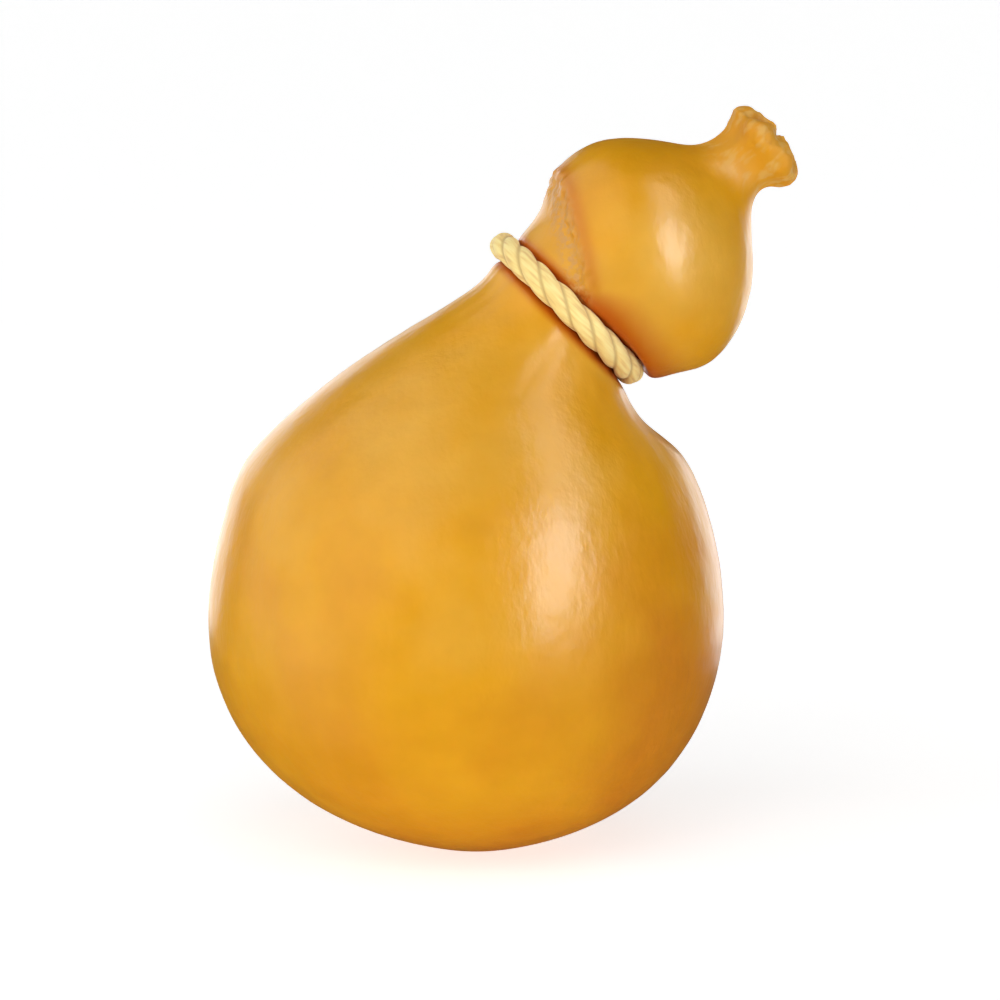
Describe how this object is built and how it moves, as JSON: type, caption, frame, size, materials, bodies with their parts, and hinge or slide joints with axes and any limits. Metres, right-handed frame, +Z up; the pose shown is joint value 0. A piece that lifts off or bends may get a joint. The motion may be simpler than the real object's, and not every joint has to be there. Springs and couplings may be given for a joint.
{
  "type": "smoked caciocavallo",
  "caption": "Pear-shaped smoked stretched-curd cheese with a leaning neck gripped by a laid rope, a round head above it and a torn nub, resting on a small flat spot.",
  "frame": {"origin": "middle of the flat spot under the belly that the cheese rests on", "axes": "+Z up, +X to the side that the neck leans to, +Y from the front to the back"},
  "size_m": [0.1608, 0.137, 0.1999],
  "materials": {
    "smoked_rind": "smooth satin smoked rind, golden, faintly waxy and slightly translucent",
    "rope_fibre": "matte laid natural fibre, cream to straw"
  },
  "bodies": {
    "root": {"cheese": "smoked_rind", "rope": "rope_fibre"}
  },
  "joints": []
}
